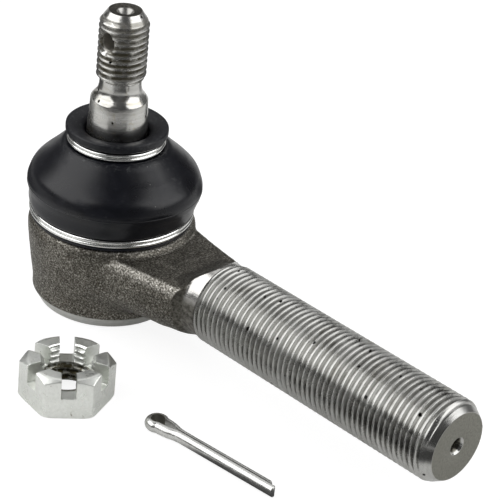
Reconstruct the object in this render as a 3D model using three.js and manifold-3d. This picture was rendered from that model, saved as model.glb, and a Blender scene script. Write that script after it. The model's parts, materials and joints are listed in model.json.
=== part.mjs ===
// Tie rod end: forged socket with a threaded shank, a ball stud in a sealed joint,
// and the slotted nut and split pin that go with it.
// Millimetres, +Z up. The stud axis is the Z axis and the shank runs along +X at its own
// height. z = 0 is the underside of the socket, where the end plate and the rim lie.
import * as THREE from 'three';
import { mergeVertices } from 'three/addons/utils/BufferGeometryUtils.js';
import Module from 'manifold-3d';

// ---- driving dimensions -------------------------------------------------
const GAP = 0.3; // clearance between neighbouring pieces
const SIDES = 44; // facets round the large turned pieces

// Socket
const RIM_R = 16.45; // underside of the socket
const BAND_R = 18.1; // top of the machined band
const BAND_Z = 2.9;
const WALL_R = 20.1; // widest forged radius
const SHOULDER_Z = 22.5; // seat of the boot's lower bead
const SPIGOT_R = 16.3; // collar inside the boot's lower bead
const SPIGOT_Z = 25.6;
const MOUTH_R = 9.6; // narrowest part of the opening for the stud
const BORE_R = 14.4; // bore for the lower seat, spring and end plate
const LIP_R = 13.2; // inner radius of the closed-in rim

// Arm and shank
const SHANK_Z = 16.4; // height of the shank axis
const SHANK_R = 9.9; // crest radius of M20 x 1.5
const SHANK_END_X = 111;
const SHANK_CHAMFER = 3;
const SHANK_FACE_R = 8.2;
const THREAD_X = 39.2; // where the shank thread starts
const ARM_TOP_Z = 21;
const ARM_FOOT_Z = 6.5;
const ARM_HALF_ROOT = 14.6; // half width of the arm where it leaves the socket
const ARM_HALF_END = 11.4; // half width of the arm at the turned cone
const CENTRE_R = 2; // centre drilling in the shank end

// Ball stud
const BALL_Z = 14.2; // centre of the ball and of all its movement
const BALL_R = 11;
const BALL_FLAT_Z = 5.6; // flattened underside of the ball
const NECK_R = 5.5;
const TAPER_Z0 = 40; // large end of the 1:10 taper
const TAPER_R0 = 7.4;
const TAPER_Z1 = 53.1;
const TAPER_R1 = 6.75;
const STUD_CREST_R = 5.85; // crest radius of M12 x 1.5
const STUD_TIP_R = 3.9;
const STUD_TIP_Z = 75.1;
const PIN_HOLE_Z = 68.2;
const PIN_HOLE_R = 1.7;

// Seats and spring
const SEAT_WALL = 1.2;
const SEAT_SPLIT_Z = 13.7; // the upper seat lies above this height, the lower seat below

// Boot
const BOOT_SPLIT_1 = 28.6; // end of the part that stays with the socket
const BOOT_SPLIT_2 = 40.6; // start of the part that stays with the stud
const BOOT_TOP_Z = 46.1;
const COLLAR_R = 12.15;
const LOWER_RING_R = 19.2; // wire centre line
const LOWER_RING_Z = 24.45; // between its two turns
const UPPER_RING_R = 11.4;
const UPPER_RING_Z = 42.75;
const WIRE_D = 0.9;

// Slotted nut
const NUT_FLATS = 19;
const NUT_H = 10;
const NUT_BORE_R = 5.3;
const NUT_SLOT_W = 3.4;
const NUT_SLOT_Z = 5.1; // floor of the slots
const NUT_AT = new THREE.Vector3(28.8, -37.2, 0);
const NUT_TURN = 51.3; // degrees, direction of one corner

// Split pin
const PIN_R = 1.45; // the two half-round legs together make a round of this radius
const PIN_LONG = 37.3; // eye to the end of the longer leg
const PIN_SHORT = 35.2;
const PIN_EYE_R = 1.5; // inside of the eye
const PIN_AT = new THREE.Vector3(48, -29.8, PIN_R);
const PIN_TURN = 4.9; // degrees from the shank's direction

// ---- solids --------------------------------------------------------------
const wasm = await Module();
wasm.setup();
const { Manifold, Mesh: SolidMesh } = wasm;

// A closed three.js geometry as a solid, with its faces turned outward.
function solid(geometry) {
  const bare = geometry.index ? geometry.toNonIndexed() : geometry.clone();
  bare.deleteAttribute('normal');
  bare.deleteAttribute('uv');
  const merged = mergeVertices(bare, 1e-4);
  const p = merged.attributes.position.array;
  const index = merged.index.array;
  const faces = [];
  let volume = 0;
  for (let i = 0; i < index.length; i += 3) {
    const [a, b, c] = [index[i], index[i + 1], index[i + 2]];
    if (a === b || b === c || c === a) continue;
    faces.push(a, b, c);
    const va = new THREE.Vector3().fromArray(p, 3 * a);
    const vb = new THREE.Vector3().fromArray(p, 3 * b);
    const vc = new THREE.Vector3().fromArray(p, 3 * c);
    volume += va.dot(vb.cross(vc));
  }
  if (volume < 0) {
    for (let i = 0; i < faces.length; i += 3) {
      [faces[i + 1], faces[i + 2]] = [faces[i + 2], faces[i + 1]];
    }
  }
  return new Manifold(
    new SolidMesh({
      numProp: 3,
      vertProperties: Float32Array.from(p),
      triVerts: Uint32Array.from(faces),
    }),
  );
}

// A profile of [radius, height] turned about Z. It starts and ends on the axis, or closes.
function turned(profile, sides = SIDES) {
  const points = profile.map(([r, z]) => new THREE.Vector2(Math.max(r, 0), z));
  return solid(new THREE.LatheGeometry(points, sides).rotateX(Math.PI / 2));
}

// The same about the shank axis, with the profile as [radius, x].
function turnedOnShank(profile, sides = SIDES) {
  return turned(profile, sides).rotate([0, 90, 0]).translate([0, 0, SHANK_Z]);
}

function shapeOf(points) {
  return new THREE.Shape(points.map(([x, y]) => new THREE.Vector2(x, y)));
}

// An outline in the XY plane, raised from one height to another.
function raised(points, z0, z1) {
  const options = { depth: z1 - z0, bevelEnabled: false };
  return solid(new THREE.ExtrudeGeometry(shapeOf(points), options)).translate([0, 0, z0]);
}

// Points of an arc in the profile plane, about [0, centreZ], from one radius to another.
function sphereArc(radius, centreZ, fromZ, toZ, steps) {
  const a = Math.asin(THREE.MathUtils.clamp((fromZ - centreZ) / radius, -1, 1));
  const b = Math.asin(THREE.MathUtils.clamp((toZ - centreZ) / radius, -1, 1));
  return Array.from({ length: steps + 1 }, (_, i) => {
    const t = a + ((b - a) * i) / steps;
    return [radius * Math.cos(t), centreZ + radius * Math.sin(t)];
  });
}

// ---- housing ---------------------------------------------------------------
const cupR = BALL_R + GAP + SEAT_WALL + GAP; // spherical roof of the socket
const mouthZ = BALL_Z + Math.sqrt(cupR ** 2 - MOUTH_R ** 2);

function makeHousing() {
  const socketSkin = [
    [RIM_R, 0],
    [BAND_R, BAND_Z],
    [18.35, 6],
    [18.95, 10.5],
    [19.8, 15.5],
    [WALL_R, 18.4],
    [19.85, 20.2],
    [19.1, 21.7],
    [17.9, SHOULDER_Z],
    [0, SHOULDER_Z],
  ];
  const socket = turned([[0, 0], ...socketSkin]);
  const spigot = turned([[0, 10], [SPIGOT_R, 10], [SPIGOT_R, SPIGOT_Z], [0, SPIGOT_Z]]);

  // The arm: a tapering plan, cut to a rounded section and a rising top.
  const plan = raised(
    [[2, -17], [12, -16.4], [18, -ARM_HALF_ROOT], [24, -13.1], [40, -10.6],
      [40, 10.6], [24, 13.1], [18, ARM_HALF_ROOT], [12, 16.4], [2, 17]],
    ARM_FOOT_Z,
    ARM_TOP_Z,
  );
  const section = turnedSection().rotate([0, 90, 0]);
  const rise = raised(
    [[20, 12], [20, ARM_TOP_Z - 0.2], [29, ARM_TOP_Z - 0.2], [32.5, 21.7], [35, 22.9],
      [37.3, 24.5], [THREAD_X, 26], [THREAD_X, 12]],
    -8.2,
    8.2,
  ).rotate([90, 0, 0]);
  const turnedEnd = turnedOnShank([
    [0, -10],
    [40, -10],
    [40, 33],
    [13, 33],
    [9.4, 37.4],
    [9.4, THREAD_X],
    [0, THREAD_X],
  ]);
  const arm = plan.intersect(section).add(rise).intersect(turnedEnd);

  const shank = turnedOnShank([
    [0, 20],
    [8.6, 20],
    [9.4, 33],
    [9.4, THREAD_X - 0.4],
    [SHANK_R, THREAD_X + 0.3],
    [SHANK_R, SHANK_END_X - SHANK_CHAMFER],
    [SHANK_FACE_R, SHANK_END_X],
    [CENTRE_R, SHANK_END_X],
    [0.9, SHANK_END_X - 1.9],
    [0.9, SHANK_END_X - 4.4],
    [0, SHANK_END_X - 5],
  ]);

  const cavity = turned([
    [0, -1],
    [LIP_R, -1],
    [LIP_R, 1.2],
    [BORE_R, 1.2],
    [BORE_R, SEAT_SPLIT_Z + 0.2],
    ...sphereArc(cupR, BALL_Z, SEAT_SPLIT_Z + 0.2, mouthZ, 6),
    [10.8, SPIGOT_Z],
    [10.8, SPIGOT_Z + 1],
    [0, SPIGOT_Z + 1],
  ]);
  return socket.add(spigot).add(arm).add(shank).subtract(cavity);
}

// The arm's section as seen along the shank, laid out for turning onto the X axis.
function turnedSection() {
  const w = ARM_HALF_ROOT + 2.4;
  const top = ARM_TOP_Z;
  const foot = ARM_FOOT_Z;
  const corner = 2.4;
  const outline = [
    [-top, -(w - corner - 1.4)], [-(top - 0.8), -(w - corner + 0.6)],
    [-(top - corner - 0.6), -(w - 0.3)], [-(SHANK_Z - 1), -w],
    [-(foot + 4.6), -(w - 2.4)], [-(foot + 1.6), -(w - 5.4)], [-foot, -(w - 9.4)],
    [-foot, w - 9.4], [-(foot + 1.6), w - 5.4], [-(foot + 4.6), w - 2.4],
    [-(SHANK_Z - 1), w], [-(top - corner - 0.6), w - 0.3],
    [-(top - 0.8), w - corner + 0.6], [-top, w - corner - 1.4],
  ];
  return raised(outline, 0, 60);
}

// ---- ball stud ---------------------------------------------------------------
function makeStud() {
  const neckZ = BALL_Z + Math.sqrt(BALL_R ** 2 - NECK_R ** 2);
  const body = turned(
    [
      [0, BALL_FLAT_Z],
      ...sphereArc(BALL_R, BALL_Z, BALL_FLAT_Z, neckZ, 13),
      [5.1, 26],
      [5.1, 33],
      [6, 36.5],
      [TAPER_R0, TAPER_Z0],
      [TAPER_R1, TAPER_Z1],
      [6, 54.3],
      [5.35, 55.6],
      [4.95, 57.4],
      [4.95, 59],
      [STUD_CREST_R, 59.9],
      [STUD_CREST_R, 72],
      [STUD_TIP_R, STUD_TIP_Z],
      [2.9, STUD_TIP_Z],
      [2.3, STUD_TIP_Z - 0.7],
      [0, STUD_TIP_Z - 0.9],
    ],
    36,
  );
  const hole = turned(
    [
      [0, -7],
      [PIN_HOLE_R + 1.2, -7],
      [PIN_HOLE_R + 1.2, -STUD_CREST_R],
      [PIN_HOLE_R, -STUD_CREST_R + 1],
      [PIN_HOLE_R, STUD_CREST_R - 1],
      [PIN_HOLE_R + 1.2, STUD_CREST_R],
      [PIN_HOLE_R + 1.2, 7],
      [0, 7],
    ],
    16,
  );
  return body.subtract(hole.rotate([90, 0, 0]).translate([0, 0, PIN_HOLE_Z]));
}

// ---- seats, spring and end plate ----------------------------------------------
const seatIn = BALL_R + GAP;
const seatOut = seatIn + SEAT_WALL;

function makeUpperSeat() {
  const topZ = BALL_Z + Math.sqrt(seatIn ** 2 - (MOUTH_R - 0.6) ** 2);
  const outTopZ = BALL_Z + Math.sqrt(seatOut ** 2 - (MOUTH_R - 0.3) ** 2);
  const lowZ = SEAT_SPLIT_Z + 0.5;
  return turned([
    ...sphereArc(seatOut, BALL_Z, lowZ, outTopZ, 6),
    ...sphereArc(seatIn, BALL_Z, topZ, lowZ, 6),
    [seatOut, lowZ],
  ]);
}

function makeLowerSeat() {
  const holeR = 6.4; // room for the flattened ball to tilt
  const holeTopZ = BALL_Z - Math.sqrt(seatIn ** 2 - holeR ** 2);
  const r = BORE_R - GAP;
  const top = SEAT_SPLIT_Z - 0.1;
  return turned([
    [holeR, 4.4],
    [r - 0.8, 4.4],
    [r, 5.2],
    [r, top],
    ...sphereArc(seatIn, BALL_Z, top, holeTopZ, 7),
    [holeR, 4.4],
  ]);
}

function makeSpring() {
  return turned([[7.6, 3.55], [13.6, 2.9], [13.6, 3.55], [7.6, 4.15], [7.6, 3.55]]);
}

function makeEndPlate() {
  const r = BORE_R - GAP;
  return turned([
    [0, 0],
    [8.6, 0],
    [11.2, 1.5],
    [r, 1.5],
    [r, 2.6],
    [10.8, 2.6],
    [8.2, 1.2],
    [0, 1.2],
  ]);
}

// ---- boot ----------------------------------------------------------------------
const lowerGroove = LOWER_RING_R - WIRE_D / 2 - GAP;
const upperGroove = UPPER_RING_R - WIRE_D / 2 - GAP;

function makeBootBase() {
  const inner = SPIGOT_R + GAP;
  return turned([
    [inner, SHOULDER_Z + GAP],
    [19.3, SHOULDER_Z + GAP],
    [19.3, 23.1],
    [lowerGroove, 23.15],
    [lowerGroove, 25.75],
    [19.3, 26],
    [20, 26.7],
    [20.15, BOOT_SPLIT_1 - GAP],
    [18.3, BOOT_SPLIT_1 - GAP],
    [17.8, 27.2],
    [inner, 26.2],
    [inner, SHOULDER_Z + GAP],
  ]);
}

function makeBootBellows() {
  return turned([
    [20.2, BOOT_SPLIT_1],
    [20.7, 30],
    [21.2, 31.4],
    [21.1, 32.2],
    [20.6, 33.3],
    [19.9, 34.5],
    [19.05, 35.5],
    [18, 36.5],
    [15.65, 38.5],
    [13.75, BOOT_SPLIT_2 - GAP],
    [11.1, BOOT_SPLIT_2 - GAP],
    [13.1, 38.3],
    [15.3, 36.3],
    [16.9, 34.8],
    [18.1, 33.2],
    [18.8, 31.2],
    [18.35, BOOT_SPLIT_1],
    [20.2, BOOT_SPLIT_1],
  ]);
}

function makeBootCollar() {
  const taper = (z) => TAPER_R0 + ((TAPER_R1 - TAPER_R0) * (z - TAPER_Z0)) / (TAPER_Z1 - TAPER_Z0);
  return turned([
    [13.45, BOOT_SPLIT_2],
    [12.5, 41.5],
    [upperGroove, 41.6],
    [upperGroove, 44.05],
    [COLLAR_R, 44.35],
    [COLLAR_R, BOOT_TOP_Z],
    [8.9, BOOT_TOP_Z],
    [taper(44) + GAP, 44],
    [taper(41) + GAP, 41],
    [10.8, BOOT_SPLIT_2],
    [13.45, BOOT_SPLIT_2],
  ]);
}

// A clamp of round wire laid twice round a groove, with one step up between the turns.
function makeClampRing(radius, z) {
  const pitch = WIRE_D + 0.12;
  const turns = 1.93;
  const start = THREE.MathUtils.degToRad(150);
  class Coil extends THREE.Curve {
    getPoint(t, target = new THREE.Vector3()) {
      const a = start + 2 * Math.PI * turns * t;
      const rise = THREE.MathUtils.smoothstep(turns * t, 0.94, 1) - 0.5;
      return target.set(radius * Math.cos(a), radius * Math.sin(a), z + pitch * rise);
    }
  }
  const wire = shapeOf(
    Array.from({ length: 6 }, (_, i) => {
      const a = (Math.PI * i) / 3;
      return [(WIRE_D / 2) * Math.cos(a), (WIRE_D / 2) * Math.sin(a)];
    }),
  );
  return solid(
    new THREE.ExtrudeGeometry(wire, { steps: 84, extrudePath: new Coil(), bevelEnabled: false }),
  );
}

// ---- nut and split pin -----------------------------------------------------------
function makeNut() {
  const corner = NUT_FLATS / Math.sqrt(3);
  const hexagon = Array.from({ length: 6 }, (_, i) => {
    const a = (i * Math.PI) / 3;
    return [corner * Math.cos(a), corner * Math.sin(a)];
  });
  const rounded = turned([
    [0, 0],
    [10.2, 0],
    [11.1, 0.5],
    [11.1, NUT_H - 1.2],
    [9.1, NUT_H],
    [0, NUT_H],
  ]);
  const bore = turned(
    [
      [0, -1],
      [6.3, -1],
      [6.3, 0],
      [NUT_BORE_R, 1],
      [NUT_BORE_R, NUT_H - 1],
      [6.3, NUT_H],
      [6.3, NUT_H + 1],
      [0, NUT_H + 1],
    ],
    30,
  );
  let nut = raised(hexagon, 0, NUT_H).intersect(rounded).subtract(bore);
  const slotH = NUT_H - NUT_SLOT_Z + 1;
  for (let i = 0; i < 3; i += 1) {
    const slot = solid(new THREE.BoxGeometry(30, NUT_SLOT_W, slotH));
    nut = nut.subtract(slot.translate([0, 0, NUT_SLOT_Z + slotH / 2]).rotate([0, 0, 30 + 60 * i]));
  }
  return nut.rotate([0, 0, NUT_TURN]).translate(NUT_AT.toArray());
}

function makeSplitPin() {
  // Centre line of the flat inner side, from the end of one leg round the eye to the other.
  const half = 0.16;
  const eyeX = PIN_R + PIN_EYE_R;
  const side = (s, end) => [
    [end, s * half],
    [24, s * half],
    [12, s * half],
    [9.2, s * (half + 0.1)],
    [6.6, s * 0.85],
  ];
  const round = [];
  for (let i = 0; i <= 8; i += 1) {
    const a = THREE.MathUtils.degToRad(50 + (260 * i) / 8);
    round.push([eyeX + PIN_EYE_R * Math.cos(a), PIN_EYE_R * Math.sin(a)]);
  }
  const line = [...side(1, PIN_SHORT), ...round, ...side(-1, PIN_LONG).reverse()];
  const path = new THREE.CatmullRomCurve3(line.map(([x, y]) => new THREE.Vector3(x, y, 0)));
  const halfRound = shapeOf(
    Array.from({ length: 8 }, (_, i) => {
      const a = (Math.PI * i) / 7;
      return [PIN_R * Math.cos(a), -PIN_R * Math.sin(a)];
    }),
  );
  const options = { steps: 56, extrudePath: path, bevelEnabled: false };
  return solid(new THREE.ExtrudeGeometry(halfRound, options))
    .rotate([0, 0, PIN_TURN])
    .translate(PIN_AT.toArray());
}

// ---- assembly ----------------------------------------------------------------------
const FINISHES = {
  forged_steel: { color: 0x4f4a42, roughness: 0.62, metalness: 0.7 },
  ground_steel: { color: 0x9c968c, roughness: 0.32, metalness: 0.9 },
  seat_plastic: { color: 0xd8d4c4, roughness: 0.5, metalness: 0 },
  spring_steel: { color: 0x3f4246, roughness: 0.4, metalness: 0.85 },
  plate_steel: { color: 0x8d8f90, roughness: 0.4, metalness: 0.85 },
  boot_rubber: { color: 0x17181b, roughness: 0.42, metalness: 0 },
  clamp_wire: { color: 0xbcc3c4, roughness: 0.25, metalness: 0.9 },
  nut_zinc: { color: 0xb4bab6, roughness: 0.36, metalness: 0.85 },
  pin_zinc: { color: 0xa6a7a6, roughness: 0.3, metalness: 0.9 },
};

const group = new THREE.Group();
group.name = 'tie_rod_end';

function place(name, manifold, finish) {
  const mesh = manifold.getMesh();
  const geometry = new THREE.BufferGeometry();
  geometry.setAttribute('position', new THREE.BufferAttribute(Float32Array.from(mesh.vertProperties), 3));
  geometry.setIndex(new THREE.BufferAttribute(Uint32Array.from(mesh.triVerts), 1));
  geometry.computeVertexNormals();
  const material = new THREE.MeshStandardMaterial({ name: finish, ...FINISHES[finish] });
  const part = new THREE.Mesh(geometry, material);
  part.name = name;
  group.add(part);
}

place('housing', makeHousing(), 'forged_steel');
place('ball_stud', makeStud(), 'ground_steel');
place('upper_ball_seat', makeUpperSeat(), 'seat_plastic');
place('lower_ball_seat', makeLowerSeat(), 'seat_plastic');
place('preload_spring', makeSpring(), 'spring_steel');
place('end_plate', makeEndPlate(), 'plate_steel');
place('boot_base', makeBootBase(), 'boot_rubber');
place('boot_bellows', makeBootBellows(), 'boot_rubber');
place('boot_collar', makeBootCollar(), 'boot_rubber');
place('lower_clamp_ring', makeClampRing(LOWER_RING_R, LOWER_RING_Z), 'clamp_wire');
place('upper_clamp_ring', makeClampRing(UPPER_RING_R, UPPER_RING_Z), 'clamp_wire');
place('castle_nut', makeNut(), 'nut_zinc');
place('split_pin', makeSplitPin(), 'pin_zinc');

export default group;
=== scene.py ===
"""Tie rod end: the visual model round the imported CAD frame.

Shapes are built in millimetres in the row frame and scaled to metres as each mesh is made.
"""

import json
import math

import bpy
import numpy as np
from mathutils import Matrix, Vector


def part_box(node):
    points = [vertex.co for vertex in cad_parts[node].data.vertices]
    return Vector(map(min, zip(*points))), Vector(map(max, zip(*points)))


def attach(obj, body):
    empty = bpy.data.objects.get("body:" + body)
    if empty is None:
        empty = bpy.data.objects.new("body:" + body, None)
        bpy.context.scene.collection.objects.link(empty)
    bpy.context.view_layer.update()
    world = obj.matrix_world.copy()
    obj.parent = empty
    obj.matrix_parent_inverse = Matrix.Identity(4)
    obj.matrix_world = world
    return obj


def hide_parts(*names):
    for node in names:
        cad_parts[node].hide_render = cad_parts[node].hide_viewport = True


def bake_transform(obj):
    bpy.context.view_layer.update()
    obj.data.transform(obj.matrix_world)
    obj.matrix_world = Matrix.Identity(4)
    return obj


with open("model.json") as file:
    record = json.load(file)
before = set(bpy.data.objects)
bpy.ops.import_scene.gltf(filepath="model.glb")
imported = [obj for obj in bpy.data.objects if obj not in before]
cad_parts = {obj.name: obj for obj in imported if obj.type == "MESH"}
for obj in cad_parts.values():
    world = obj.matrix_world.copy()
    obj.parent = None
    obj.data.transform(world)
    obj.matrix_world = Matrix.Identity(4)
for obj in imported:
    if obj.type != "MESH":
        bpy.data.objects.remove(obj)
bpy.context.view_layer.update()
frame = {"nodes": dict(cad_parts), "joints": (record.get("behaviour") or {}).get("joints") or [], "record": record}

MM = 0.001
TAU = 2 * math.pi


# ---- places taken from the frame, in millimetres ---------------------------------
def box_mm(node):
    low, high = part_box(node)
    return np.array(low) / MM, np.array(high) / MM


MOUNTS = {m["name"]: np.array(m["pos_m"]) / MM for m in frame["record"]["mounts"]}
BALL_Z = frame["joints"][0]["pos_m"][2] / MM
SHANK_Z = MOUNTS["shank_end"][2]
SHANK_END = box_mm("housing")[1][0]
STUD_TIP = box_mm("ball_stud")[1][2]
BOOT_TOP = box_mm("boot_collar")[1][2]
BALL_R = 11.0
PITCH = 1.5  # of the shank's, the stud's and the nut's thread


# ---- meshes ------------------------------------------------------------------------
def mesh_object(name, verts, faces, material, sharp=35.0):
    """A mesh from points in millimetres and faces as index tuples or rows."""
    mesh = bpy.data.meshes.new(name)
    verts = np.asarray(verts, float) * MM
    counts = np.array([len(face) for face in faces])
    flat = np.concatenate([np.asarray(face) for face in faces])
    mesh.vertices.add(len(verts))
    mesh.vertices.foreach_set("co", verts.ravel())
    mesh.loops.add(len(flat))
    mesh.loops.foreach_set("vertex_index", flat.astype(np.int32))
    mesh.polygons.add(len(counts))
    starts = np.concatenate([[0], np.cumsum(counts)[:-1]]).astype(np.int32)
    mesh.polygons.foreach_set("loop_start", starts)
    mesh.update(calc_edges=True)
    mesh.validate()
    mesh.polygons.foreach_set("use_smooth", [True] * len(mesh.polygons))
    if sharp:
        mesh.set_sharp_from_angle(angle=math.radians(sharp))
    obj = bpy.data.objects.new(name, mesh)
    bpy.context.scene.collection.objects.link(obj)
    mesh.materials.append(material)
    return obj


def weld(verts, faces, places=5):
    """Joins equal points and drops the faces that collapse."""
    keys = np.round(np.asarray(verts, float), places)
    _, first, inverse = np.unique(keys, axis=0, return_index=True, return_inverse=True)
    inverse = inverse.reshape(-1)
    out = []
    for face in faces:
        face = inverse[np.asarray(face)]
        kept = [v for i, v in enumerate(face) if v != face[i - 1]]
        if len(set(kept)) >= 3:
            out.append(tuple(int(v) for v in kept))
    return np.asarray(verts, float)[first], out


def rings(rows, closed=False):
    """Faces of a grid of rings: rows of equal point counts, joined in turn."""
    rows = np.asarray(rows)
    n_rows, n = rows.shape[:2]
    i = np.arange(n_rows if closed else n_rows - 1)[:, None]
    j = np.arange(n)[None, :]
    a, b = i * n + j, i * n + (j + 1) % n
    c, d = ((i + 1) % n_rows) * n + (j + 1) % n, ((i + 1) % n_rows) * n + j
    return rows.reshape(-1, 3), np.stack([a, b, c, d], -1).reshape(-1, 4)


def lathe(profile, n=128, wobble=None):
    """Points and faces of [r, z] turned about Z. The profile closes on itself or on the axis."""
    profile = np.asarray(profile, float)
    a = np.arange(n) / n * TAU
    r, z = profile[:, :1], profile[:, 1:]
    if wobble is not None:
        r = r + wobble(r, z, a[None])
    rows = np.stack([r * np.cos(a), r * np.sin(a), z + 0 * a], -1)
    closes = bool(profile[0, 0] > 1e-6)
    verts, faces = rings(rows, closed=closes)
    return weld(verts, faces)


def smooth_profile(points, step):
    """A Catmull-Rom curve through the points, in steps of about `step` millimetres."""
    p = np.asarray(points, float)
    out = []
    for i in range(len(p) - 1):
        p1, p2 = p[i], p[i + 1]
        p0 = p[max(i - 1, 0)]
        p3 = p[min(i + 2, len(p) - 1)]
        n = max(2, int(np.linalg.norm(p2 - p1) / step))
        t = (np.arange(n) / n)[:, None]
        out.append(
            0.5 * (2 * p1 + (p2 - p0) * t + (2 * p0 - 5 * p1 + 4 * p2 - p3) * t**2
                   + (3 * p1 - p0 - 3 * p2 + p3) * t**3)
        )
    out.append(p[-1:])
    return np.concatenate(out)


def thread_depth(phase, depth):
    """How far below the crest a 60 degree thread is, for a phase of 0 to 1 from crest to crest."""
    flat, flank, hollow = 0.16, 0.62, 1.15  # the crest's flat, the slope, and its slight hollow
    ramp = np.abs(((phase + 0.5) % 1.0) - 0.5) * 2
    return depth * np.clip((ramp - flat) / flank, 0, 1) ** hollow


def threaded_rod(start, end, pitch, depth, crest, envelope, before, after, n, per):
    """A rod along X with a right-hand helical thread between start and end.

    before and after are [x, r] rings added at the two ends. They end on the axis.
    envelope(x) is the largest radius allowed, such as a chamfer's. The mesh has n points
    round and per rows to a turn.
    """
    dx = pitch / per
    count = int(math.ceil((end - start) / dx)) + per
    i = np.arange(-per, count + 1)[:, None]
    j = np.arange(n)[None, :]
    x = np.clip(start + (i + j / n * per) * dx, start, end)
    a = np.broadcast_to(j / n * TAU, x.shape)
    r = crest - thread_depth((x - start) / pitch - a / TAU, depth)
    r = np.minimum(r, envelope(x))
    body = np.stack([x, r * np.cos(a), r * np.sin(a)], -1)

    def ring(x0, r0):
        b = np.arange(n) / n * TAU
        return np.stack([np.full(n, x0), r0 * np.cos(b), r0 * np.sin(b)], -1)

    head = np.array([ring(*p) for p in before]).reshape(-1, n, 3)
    tail = np.array([ring(*p) for p in after]).reshape(-1, n, 3)
    rows = np.concatenate([head, body, tail])
    n_rows, m = len(rows), len(head)
    verts = rows.reshape(-1, 3)
    faces = []
    last = m + len(body) - 1
    for k in range(n_rows - 1):
        helical = m <= k < last
        for q in range(n):
            if q < n - 1 or not helical:
                q2 = (q + 1) % n
                faces.append((k * n + q, k * n + q2, (k + 1) * n + q2, (k + 1) * n + q))
            else:  # the seam: one pitch on is the same place
                k1, k2 = min(k + per, last), min(k + 1 + per, last)
                faces.append((k * n + q, k1 * n, k2 * n, (k + 1) * n + q))
    verts, faces = weld(verts, faces)
    return verts, [f[::-1] for f in faces]


def contour(field, low, high, step, keep=0.08):
    """Dual contouring: the surface where field(x, y, z) is zero, with its sharp edges kept.

    keep holds each point near the middle of its cell's crossings where the planes leave it free.
    """
    low = np.asarray(low, float)
    size = np.ceil((np.asarray(high, float) - low) / step).astype(int) + 1
    axes = [low[k] + step * np.arange(size[k]) for k in range(3)]
    grid = np.empty(size)
    for k in range(size[0]):
        y, z = np.meshgrid(axes[1], axes[2], indexing="ij")
        grid[k] = field(np.full_like(y, axes[0][k]), y, z)
    inside = grid < 0
    cells = size - 1
    n_cells = int(np.prod(cells))
    total = np.zeros((13, n_cells))  # per cell: normal products, right side, places, count
    quads = []
    for axis in range(3):
        a = [slice(None)] * 3
        b = [slice(None)] * 3
        a[axis], b[axis] = slice(0, -1), slice(1, None)
        va, vb = grid[tuple(a)], grid[tuple(b)]
        ia = inside[tuple(a)]
        cross = ia != inside[tuple(b)]
        u, v = [k for k in range(3) if k != axis]
        edge = [slice(None)] * 3
        edge[u] = edge[v] = slice(1, -1)
        mask = np.zeros_like(cross)
        mask[tuple(edge)] = cross[tuple(edge)]
        at = np.argwhere(mask)
        t = va[mask] / (va[mask] - vb[mask])
        p = low + step * at.astype(float)
        p[:, axis] += step * t
        e = 0.02 * step
        grad = np.stack([
            field(*(p + e * np.eye(3)[k]).T) - field(*(p - e * np.eye(3)[k]).T) for k in range(3)
        ], 1)
        grad /= np.linalg.norm(grad, axis=1, keepdims=True) + 1e-12
        d = (grad * p).sum(1)
        terms = [grad[:, 0] ** 2, grad[:, 0] * grad[:, 1], grad[:, 0] * grad[:, 2],
                 grad[:, 1] ** 2, grad[:, 1] * grad[:, 2], grad[:, 2] ** 2,
                 grad[:, 0] * d, grad[:, 1] * d, grad[:, 2] * d, p[:, 0], p[:, 1], p[:, 2],
                 np.ones(len(p))]
        corner = []
        for du, dv in ((0, 0), (1, 0), (1, 1), (0, 1)):
            c = at.copy()
            c[:, u] -= du
            c[:, v] -= dv
            index = np.ravel_multi_index(c.T, cells)
            corner.append(index)
            for k, term in enumerate(terms):
                total[k] += np.bincount(index, term, n_cells)
        quad = np.stack(corner, 1)
        flip = ia[mask] if axis == 1 else ~ia[mask]
        quad[flip] = quad[flip][:, ::-1]
        quads.append(quad)
    used = np.flatnonzero(total[12] > 0)
    s = total[:, used]
    mass = (s[9:12] / s[12]).T
    m = np.empty((len(used), 3, 3))
    order = [[0, 1, 2], [1, 3, 4], [2, 4, 5]]
    for r in range(3):
        for c in range(3):
            m[:, r, c] = s[order[r][c]]
    rhs = s[6:9].T - np.einsum("nij,nj->ni", m, mass)
    m += np.eye(3) * keep
    offset = np.linalg.solve(m, rhs[..., None])[..., 0]
    place = mass + offset
    cell = np.stack(np.unravel_index(used, cells), 1)
    floor = low + step * cell
    place = np.clip(place, floor - 0.1 * step, floor + 1.1 * step)
    renumber = np.full(n_cells, -1)
    renumber[used] = np.arange(len(used))
    return place, renumber[np.concatenate(quads)]


# ---- distance fields ------------------------------------------------------------------
def polygon_distance(points):
    """Signed distance, negative inside, to a closed polygon in the plane."""
    p = np.asarray(points, float)
    q = np.roll(p, -1, axis=0)

    def distance(x, y):
        best = np.full(np.shape(x), 1e9)
        sign = np.ones(np.shape(x))
        for (ax, ay), (bx, by) in zip(p, q):
            ex, ey = bx - ax, by - ay
            wx, wy = x - ax, y - ay
            t = np.clip((wx * ex + wy * ey) / (ex * ex + ey * ey), 0, 1)
            best = np.minimum(best, (wx - ex * t) ** 2 + (wy - ey * t) ** 2)
            c1, c2, c3 = y >= ay, y < by, ex * wy > ey * wx
            turn = (c1 & c2 & c3) | (~c1 & ~c2 & ~c3)
            sign = np.where(turn, -sign, sign)
        return sign * np.sqrt(best)

    return distance


def smooth_min(a, b, k):
    h = np.clip(0.5 + 0.5 * (b - a) / k, 0, 1)
    return b + (a - b) * h - k * h * (1 - h)


def smooth_max(a, b, k):
    return -smooth_min(-a, -b, k)


# ---- the forging ------------------------------------------------------------------------
TURNED_X = [32.4, 33.6, 34.6, 35.5, 36.3, 37.2]  # the turned run-in behind the thread
TURNED_R = [13.4, 11.9, 10.8, 10.05, 9.68, 9.55]
BAND_TOP = 2.9  # the machined band round the underside
THREAD_START = 39.2
FORGING_END = 39.45


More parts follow.
